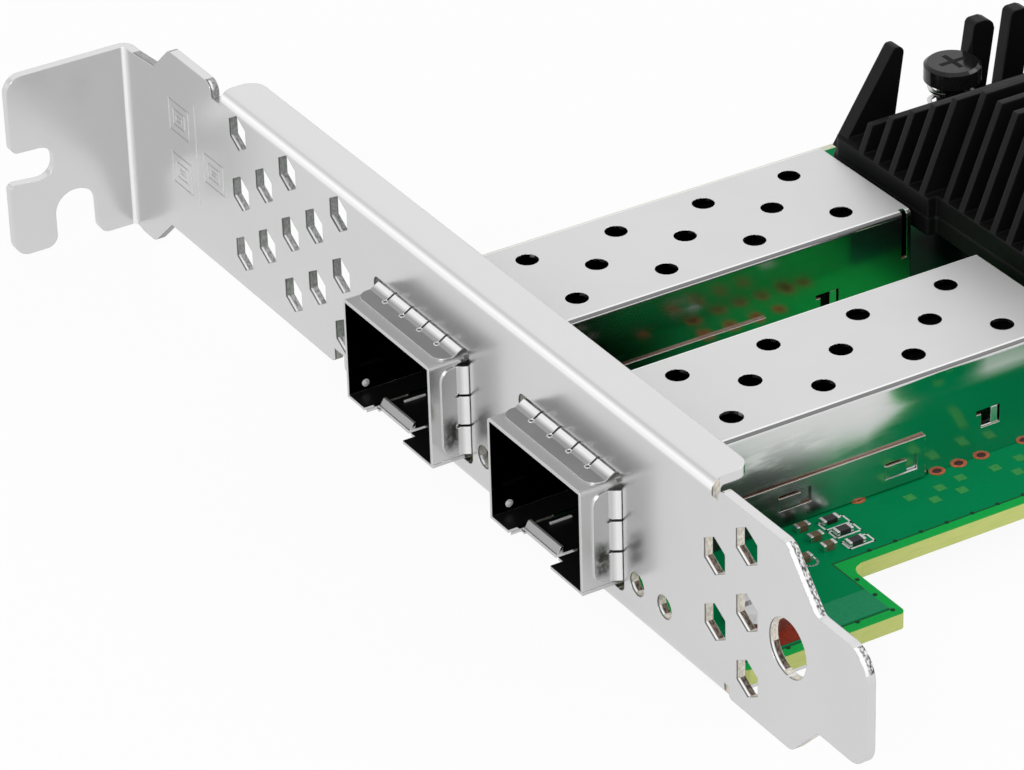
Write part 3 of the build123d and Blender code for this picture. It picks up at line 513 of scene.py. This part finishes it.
# Pieces
class Piece:
    """A mesh gathered in millimetres and placed in the card's frame."""

    def __init__(self, name, finish, slot):
        self.name, self.finish, self.slot = name, finish, slot
        self.mesh = bmesh.new()

    def prism(self, corners, low, high):
        """Upright prism over a flat outline given anticlockwise."""
        lower = [self.mesh.verts.new((x, y, low)) for x, y in corners]
        upper = [self.mesh.verts.new((x, y, high)) for x, y in corners]
        self.mesh.faces.new(upper)
        self.mesh.faces.new(lower[::-1])
        for here in range(len(corners)):
            after = (here + 1) % len(corners)
            self.mesh.faces.new((lower[here], lower[after], upper[after], upper[here]))

    def box(self, low, high):
        self.prism([(low[0], low[1]), (high[0], low[1]), (high[0], high[1]), (low[0], high[1])], low[2], high[2])

    def disc(self, x, y, radius, low, high, sides=20):
        turns = [2 * math.pi * step / sides for step in range(sides)]
        self.prism([(x + radius * math.cos(t), y + radius * math.sin(t)) for t in turns], low, high)

    def ring(self, x, y, inner, outer, low, high, sides=28):
        """Flat washer."""
        loops = []
        for radius, height in ((inner, low), (outer, low), (outer, high), (inner, high)):
            turns = [2 * math.pi * step / sides for step in range(sides)]
            loops.append([self.mesh.verts.new((x + radius * math.cos(t), y + radius * math.sin(t), height))
                          for t in turns])
        for loop in range(4):
            near, far = loops[loop], loops[(loop + 1) % 4]
            for here in range(sides):
                after = (here + 1) % sides
                self.mesh.faces.new((near[here], near[after], far[after], far[here]))

    def band(self, points, width, low, high, closed=False):
        """Flat strip of a width along a path of (x, y) points."""
        count = len(points)
        for here in range(count if closed else count - 1):
            start, end = Vector(points[here]), Vector(points[(here + 1) % count])
            along = (end - start).normalized() * width / 2
            side = Vector((-along.y, along.x))
            start, end = start - along, end + along
            self.prism([start - side, end - side, end + side, start + side], low, high)

    def finish_piece(self, matrix=None, bevel=0.0):
        bmesh.ops.recalc_face_normals(self.mesh, faces=self.mesh.faces)
        data = bpy.data.meshes.new(self.name)
        self.mesh.to_mesh(data)
        self.mesh.free()
        data.transform(Matrix.Scale(MM, 4) @ (matrix or Matrix.Identity(4)))
        piece = bpy.data.objects.new(self.name, data)
        bpy.context.scene.collection.objects.link(piece)
        data.materials.append(finishes[self.finish])
        if bevel:
            rounding = piece.modifiers.new("rounding", "BEVEL")
            rounding.width = bevel * MM
            rounding.segments = 2
        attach(piece, "root")
        return piece


# Board: copper under the mask, pads, vias, traces and white ink
BOARD_X = (31.6, 92.25)
BOARD_Y = (1.3, 168.95)
FOOT_X, FOOT_Y = 100.2, 16.75
COPPER_GAP = 1.0
COPPER = 0.02


def copper_outline(gap):
    return [(BOARD_X[0] + gap, BOARD_Y[0] + gap), (FOOT_X - gap, BOARD_Y[0] + gap),
            (FOOT_X - gap, FOOT_Y - gap), (BOARD_X[1] - gap, FOOT_Y - gap),
            (BOARD_X[1] - gap, BOARD_Y[1] - gap), (BOARD_X[0] + gap, BOARD_Y[1] - gap)]


for label, face, sign in (("top", 0.0, 1), ("back", -BOARD_THICKNESS, -1)):
    step = Piece(f"copper_step_{label}", "mask_line", "board_green")
    step.prism(copper_outline(COPPER_GAP - 0.15), min(face, face + sign * 0.5 * COPPER),
               max(face, face + sign * 0.5 * COPPER))
    step.finish_piece()
    pour = Piece(f"copper_pour_{label}", "copper_under_mask", "board_green")
    pour.prism(copper_outline(COPPER_GAP), min(face, face + sign * COPPER), max(face, face + sign * COPPER))
    pour.finish_piece()

foot_pad = Piece("foot_pad", "mask_light", "board_green")
foot_pad.box((95.8, 9.0, COPPER), (99.1, 15.9, COPPER + 0.01))
foot_pad.finish_piece()

VIA_RADIUS = 0.2
edge_vias = Piece("edge_vias", "via_dark", "board_green")
for along in range(55):
    edge_vias.disc(91.25, 19.5 + 2.55 * along, VIA_RADIUS, 0.0, 0.035, 12)
    edge_vias.disc(32.7, 5.0 + 2.9 * along, VIA_RADIUS, 0.0, 0.035, 12)
for x, y in ((94.3, 16.2), (96.9, 16.1), (99.5, 16.0), (99.4, 12.7), (99.4, 9.4), (99.4, 6.1)):
    edge_vias.disc(x, y, VIA_RADIUS, 0.0, 0.035, 12)
edge_vias.finish_piece()

PIN_LINE = 7.1
RING_Y = (6.0, 14.5, 23.1, 31.1, 40.0)
EXTRA_RING_Y = (33.3, 35.6)
pin_rings = Piece("pin_rings", "bare_copper", "gold")
pin_holes = Piece("pin_holes", "hole_red", "gold")
pin_solder = Piece("pin_solder", "solder", "screw_steel")
for centre in PORT_CENTRES:
    for side in (-1, 1):
        for y in RING_Y + EXTRA_RING_Y:
            x = centre + side * (PIN_LINE - 0.1)
            pin_rings.ring(x, y, 0.45, 0.75, COPPER, COPPER + 0.05)
            pin_holes.disc(x, y, 0.46, COPPER, COPPER + 0.03)
        for y in RING_Y:
            x = centre + side * (PIN_LINE - 0.05)
            for radius, low in ((0.9, 0.06), (0.75, 0.2), (0.5, 0.5)):
                pin_solder.disc(x, y, radius, -BOARD_THICKNESS - low, -BOARD_THICKNESS, 16)
for y in (28.2, 38.1):
    pin_rings.ring(69.9, y, 0.45, 0.75, COPPER, COPPER + 0.05)
    pin_holes.disc(69.9, y, 0.46, COPPER, COPPER + 0.03)
for y in (27.7, 30.4, 33.1, 35.5):
    pin_rings.ring(67.3, y, 0.25, 0.65, COPPER, COPPER + 0.05, 16)
    pin_holes.disc(67.3, y, 0.26, COPPER, COPPER + 0.03, 12)
pin_rings.finish_piece(bevel=0.02)
pin_holes.finish_piece()
pin_solder.finish_piece(bevel=0.05)

via_pads = Piece("via_pads", "via_mask", "board_green")
PAD_SPOTS = ((86.5, 26.85), (87.9, 28.4), (86.6, 29.8), (87.9, 31.1), (86.25, 32.1), (86.6, 35.4), (86.45, 38.0),
             (88.15, 36.6))
PAD_SIZE = 0.45
for x, y in PAD_SPOTS:
    via_pads.box((x - PAD_SIZE, y - PAD_SIZE, COPPER), (x + PAD_SIZE, y + PAD_SIZE, COPPER + 0.015))
via_pads.finish_piece()

TRACK_WIDTH, TRACK_PITCH, TRACK_TURN, TRACK_HEIGHT = 0.3, 0.8, 6.0, 0.012
TRACK_GROUPS = ((40.0, 110.0, 146.0, 7, 1), (84.0, 99.0, 128.0, 6, -1), (60.0, 120.0, 156.0, 8, 1))


def track_group(tracks, ends, face, start_x, start_y, end_y, count, lean):
    """Tracks side by side along the card that step aside at 45 degrees and end in vias."""
    low, high = sorted((face, face + math.copysign(TRACK_HEIGHT, face)))
    for number in range(count):
        x = start_x + number * TRACK_PITCH
        turn_y = (start_y + end_y) / 2 + number * TRACK_PITCH / 2
        aside = x + lean * TRACK_TURN
        tracks.band([(x, start_y), (x, turn_y), (aside, turn_y + TRACK_TURN), (aside, end_y)], TRACK_WIDTH, low, high)
        ends.ring(x, start_y, 0.12, 0.3, low, high, 12)
        ends.ring(aside, end_y, 0.12, 0.3, low, high, 12)


for label, face in (("top", COPPER), ("back", -BOARD_THICKNESS - COPPER)):
    tracks = Piece(f"tracks_{label}", "track_mask", "board_green")
    track_ends = Piece(f"track_ends_{label}", "via_mask", "board_green")
    for group in TRACK_GROUPS:
        track_group(tracks, track_ends, face, *group)
    tracks.finish_piece()
    track_ends.finish_piece()

INK = COPPER + 0.025
RESISTOR_SPOTS = ((85.9, 19.3), (87.8, 19.3), (89.7, 19.2), (40.0, 102.0), (40.0, 104.5), (40.0, 107.0),
                  (88.0, 118.0), (85.5, 118.0), (83.0, 118.0))
CAPACITOR_SPOTS = ((85.7, 16.7), (87.5, 16.8), (89.2, 16.9), (89.7, 14.2), (44.0, 102.0), (44.0, 104.5),
                   (44.0, 107.0), (58.0, 112.0), (60.5, 112.0), (63.0, 112.0), (74.0, 134.0), (76.5, 134.0))
silkscreen = Piece("silkscreen", "silk_white", "board_green")
INK_WIDTH = 0.16


def ink_frame(x, y, half_x, half_y):
    silkscreen.band([(x - half_x, y - half_y), (x + half_x, y - half_y), (x + half_x, y + half_y),
                     (x - half_x, y + half_y)], INK_WIDTH, 0.0, INK, closed=True)


for x, y in ((86.25, 19.5), (87.78, 19.5), (89.68, 19.5)) + RESISTOR_SPOTS[3:]:
    ink_frame(x, y, 0.6, 1.2)
half_turn = [math.pi * step / 8 - math.pi / 2 for step in range(9)]
silkscreen.band([(90.05 + 0.62 * math.cos(turn), 14.55 + 0.62 * math.sin(turn)) for turn in half_turn]
                + [(89.4, 15.17), (89.4, 13.93)], INK_WIDTH, 0.0, INK, closed=True)
silkscreen.finish_piece()

chip_ends = Piece("chip_ends", "solder", "screw_steel")
for spots, half_x, half_y, top in ((RESISTOR_SPOTS, 0.42, 0.8, 0.46), (CAPACITOR_SPOTS, 0.37, 0.65, 0.62)):
    for x, y in spots:
        for side in (-1, 1):
            inner, outer = y + side * (half_y - 0.3), y + side * (half_y + 0.02)
            chip_ends.box((x - half_x, min(inner, outer), 0.0), (x + half_x, max(inner, outer), top))
chip_ends.finish_piece(bevel=0.06)

screw_pads = Piece("screw_pads", "red_copper", "gold")
screw_pads.box((95.8, 3.5, COPPER), (98.95, 9.0, COPPER + 0.02))
screw_pads.box((38.5, 3.5, COPPER), (41.65, 9.0, COPPER + 0.02))
screw_pads.finish_piece()

# Sign pressed into the bracket's neck: three nested squares joined by a long line
TO_PLATE = Matrix.Rotation(math.radians(90), 4, "X")
LINE_WIDTH, LINE_HEIGHT = 0.14, 0.012
# Level strokes darker as painted shade, upright strokes pale as painted highlight.
network_sign = Piece("network_sign", "pressed_line", "plated_steel")
sign_uprights = Piece("sign_uprights", "sign_upright_highlight", "plated_steel")
sign_uprights.band([(14.2, 3.1), (14.2, 13.1)], LINE_WIDTH, 0.0, LINE_HEIGHT)
for low_x, high_x, low_z, high_z in ((9.25, 12.9, 8.8, 11.85), (9.35, 12.9, 3.5, 6.45), (15.5, 19.1, 6.1, 9.0)):
    for inset in (0.0, 0.75, 1.3):
        for z in (low_z + inset, high_z - inset):
            network_sign.band([(low_x + inset, z), (high_x - inset, z)], LINE_WIDTH, 0.0, LINE_HEIGHT)
        for x in (low_x + inset, high_x - inset):
            sign_uprights.band([(x, low_z + inset), (x, high_z - inset)], LINE_WIDTH, 0.0, 1.5 * LINE_HEIGHT)
network_sign.finish_piece(TO_PLATE)
sign_uprights.finish_piece(TO_PLATE)

# Port noses: painted glints at the ends of the slits, and the guide bar and dimple inside painted pale as highlights
SLITS = (-4.25, -1.42, 1.42, 4.25)
SIDE_SLITS = (-1.45, 1.45)
SHEET_TOP = CAGE_TOP + 0.15
slit_ends = Piece("slit_ends", "bright_metal", "spring_steel")
guide_bars = Piece("guide_bars", "interior_highlight", "cage_steel")
for centre in PORT_CENTRES:
    for slit in SLITS:
        slit_ends.ring(centre + slit, -0.98, 0.17, 0.3, SHEET_TOP - 0.02, SHEET_TOP + 0.03, 12)
    guide_bars.box((centre - 3.2, -0.2, 0.45), (centre - 3.0, 1.9, 0.62))
slit_ends.finish_piece()
guide_bars.finish_piece(bevel=0.03)

TO_WALL = Matrix.Rotation(math.radians(90), 4, "Y")
dimples = Piece("cage_dimples", "interior_highlight", "cage_steel")
for centre in PORT_CENTRES:
    wall = centre - CAGE_HALF + CAGE_SHEET
    for radius, height in ((0.36, 0.07), (0.26, 0.14), (0.13, 0.18)):
        dimples.disc(-1.19, -1.85, radius, wall, wall + height, 14)
dimples.finish_piece(TO_WALL)

# Window tabs in the bright metal, as painted highlight.
window_tabs = Piece("window_tabs", "bright_metal", "cage_steel")
for centre in PORT_CENTRES:
    for side in (-1, 1):
        inner, outer = centre + side * (CAGE_HALF - 0.3), centre + side * (CAGE_HALF - 0.05)
        window_tabs.box((min(inner, outer), 36.5, 2.85), (max(inner, outer), 37.2, 4.4))
        window_tabs.box((min(inner, outer), 35.1, 2.76), (max(inner, outer), 37.3, 2.9))
window_tabs.finish_piece(bevel=0.05)

# Heatsink: the base's lower part, and the cross slots of the push pins
SKIRT_LOW, SKIRT_TOP, SKIRT_REACH, SKIRT_CORNER = 7.2, 9.2, 0.5, 1.0
SKIRT_OUTER_REACH = 0.95
sink_skirt = Piece("heatsink_skirt", "black_aluminium", "black_aluminium")
low_x, high_x = SINK_X[0] - SKIRT_OUTER_REACH, SINK_X[1] + SKIRT_REACH
sink_skirt.prism([(low_x, SINK_Y[0] + SKIRT_CORNER), (low_x + SKIRT_CORNER, SINK_Y[0]), (61.9, SINK_Y[0]),
                  (61.9, SINK_Y[0] + 0.9), (high_x, SINK_Y[0] + 0.9), (high_x, SINK_Y[1] - SKIRT_CORNER),
                  (high_x - SKIRT_CORNER, SINK_Y[1]), (71.0, SINK_Y[1]), (71.0, SINK_Y[1] - 0.9),
                  (low_x, SINK_Y[1] - 0.9)], SKIRT_LOW, SKIRT_TOP)
sink_skirt.finish_piece(bevel=0.3)

PIN_SPOTS, HEAD_TOP = ((49.75, 57.2), (83.17, 82.8)), 16.0
pin_slots = Piece("pin_slots", "connector_plastic", "black_plastic")
for x, y in PIN_SPOTS:
    pin_slots.box((x - 1.35, y - 0.24, HEAD_TOP - 0.05), (x + 1.35, y + 0.24, HEAD_TOP + 0.012))
    pin_slots.box((x - 0.24, y - 1.35, HEAD_TOP - 0.05), (x + 0.24, y + 1.35, HEAD_TOP + 0.013))
pin_slots.finish_piece()


# Stage, light and camera
def stage_material():
    """White where it is seen directly, a little less in reflections, and shaded by a soft shadow."""
    material = bpy.data.materials.new("studio white")
    material.use_nodes = True
    tree = material.node_tree
    tree.nodes.clear()
    output = tree.nodes.new("ShaderNodeOutputMaterial")
    blend = tree.nodes.new("ShaderNodeMixShader")
    matt = tree.nodes.new("ShaderNodeBsdfDiffuse")
    matt.inputs["Color"].default_value = grey(0.85)
    glow = tree.nodes.new("ShaderNodeEmission")
    tree.links.new(ray_share(tree, 0.94, 0.6), blend.inputs[0])
    tree.links.new(matt.outputs[0], blend.inputs[1])
    tree.links.new(glow.outputs[0], blend.inputs[2])
    tree.links.new(blend.outputs[0], output.inputs[0])
    return material


def number_node(tree, operation, first, second):
    node = tree.nodes.new("ShaderNodeMath")
    node.operation = operation
    for socket, value in zip(node.inputs, (first, second)):
        if isinstance(value, bpy.types.NodeSocket):
            tree.links.new(value, socket)
        else:
            socket.default_value = value
    return node.outputs[0]


def ray_share(tree, direct, mirrored):
    """One value for camera and transmission rays, another for glossy rays, 0 for light on the card."""
    path = tree.nodes.new("ShaderNodeLightPath")
    total = number_node(tree, "MULTIPLY", path.outputs["Is Camera Ray"], direct)
    for name, share in (("Is Transmission Ray", direct), ("Is Glossy Ray", mirrored)):
        total = number_node(tree, "MAXIMUM", total, number_node(tree, "MULTIPLY", path.outputs[name], share))
    return total


FLOOR_SIZE = 4.0
floor_mesh = bmesh.new()
bmesh.ops.create_grid(floor_mesh, x_segments=2, y_segments=2, size=FLOOR_SIZE)
floor_data = bpy.data.meshes.new("floor")
floor_mesh.to_mesh(floor_data)
floor_mesh.free()
floor = bpy.data.objects.new("floor", floor_data)
floor.location.z = cad_low.z - 0.05 * MM
bpy.context.scene.collection.objects.link(floor)
floor_data.materials.append(stage_material())

world = bpy.data.worlds.new("studio")
bpy.context.scene.world = world
world.use_nodes = True
world_tree = world.node_tree
sky = world_tree.nodes["Background"]
WORLD_LIGHT, FRONT_SKY = 0.72, 0.74
direction = world_tree.nodes.new("ShaderNodeTexCoord").outputs["Generated"]
split = world_tree.nodes.new("ShaderNodeSeparateXYZ")
world_tree.links.new(direction, split.inputs[0])
shade = None
for letter, low, high in (("Z", 0.25, 0.45), ("Y", -0.22, -0.4)):
    ramp = world_tree.nodes.new("ShaderNodeMapRange")
    world_tree.links.new(split.outputs[letter], ramp.inputs["Value"])
    ramp.inputs["From Min"].default_value = low
    ramp.inputs["From Max"].default_value = high
    shade = ramp.outputs[0] if shade is None else number_node(world_tree, "MULTIPLY", shade, ramp.outputs[0])
glossy_ray = world_tree.nodes.new("ShaderNodeLightPath").outputs["Is Glossy Ray"]
shade = number_node(world_tree, "MULTIPLY", number_node(world_tree, "MULTIPLY", shade, glossy_ray), 1.0 - FRONT_SKY)
white = ray_share(world_tree, 1.0 - WORLD_LIGHT, 1.0 - WORLD_LIGHT)
strength = number_node(world_tree, "ADD", white, WORLD_LIGHT)
world_tree.links.new(number_node(world_tree, "SUBTRACT", strength, shade), sky.inputs["Strength"])
sky.inputs["Color"].default_value = grey(1.0)


def lamp(name, direction, distance, size, power):
    """Soft square lamp that looks at the middle of the card."""
    data = bpy.data.lights.new(name, "AREA")
    data.size = size
    data.energy = power
    light = bpy.data.objects.new(name, data)
    towards = Vector(direction).normalized()
    light.location = Vector((0.07, 0.05, 0.0)) + towards * distance
    light.rotation_mode = "QUATERNION"
    light.rotation_quaternion = towards.to_track_quat("Z", "Y")
    bpy.context.scene.collection.objects.link(light)


lamp("key", (0.6, -0.7, 0.6), 0.9, 0.35, 1.8)
lamp("rim", (0.2, 0.9, 0.8), 0.9, 0.3, 0.8)

AZIMUTH, ELEVATION, ROLL = 59.504, 30.434, -1.779
LENS = 177.88
CAMERA_PLACE = (373.674, -179.768, 218.872)
turn, lift, lean = (math.radians(angle) for angle in (AZIMUTH, ELEVATION, ROLL))
back = Vector((math.sin(turn) * math.cos(lift), -math.cos(turn) * math.cos(lift), math.sin(lift)))
level_right = Vector((math.cos(turn), math.sin(turn), 0))
level_up = back.cross(level_right)
right = level_right * math.cos(lean) + level_up * math.sin(lean)
up = level_up * math.cos(lean) - level_right * math.sin(lean)
camera_data = bpy.data.cameras.new("camera")
camera_data.lens = LENS
camera_data.clip_start, camera_data.clip_end = 0.02, 20
camera = bpy.data.objects.new("camera", camera_data)
camera.rotation_mode = "QUATERNION"
camera.rotation_quaternion = Matrix((right, up, back)).transposed().to_quaternion()
camera.location = Vector(CAMERA_PLACE) * MM
bpy.context.scene.collection.objects.link(camera)
bpy.context.scene.camera = camera
bpy.context.scene.view_settings.view_transform = "Standard"
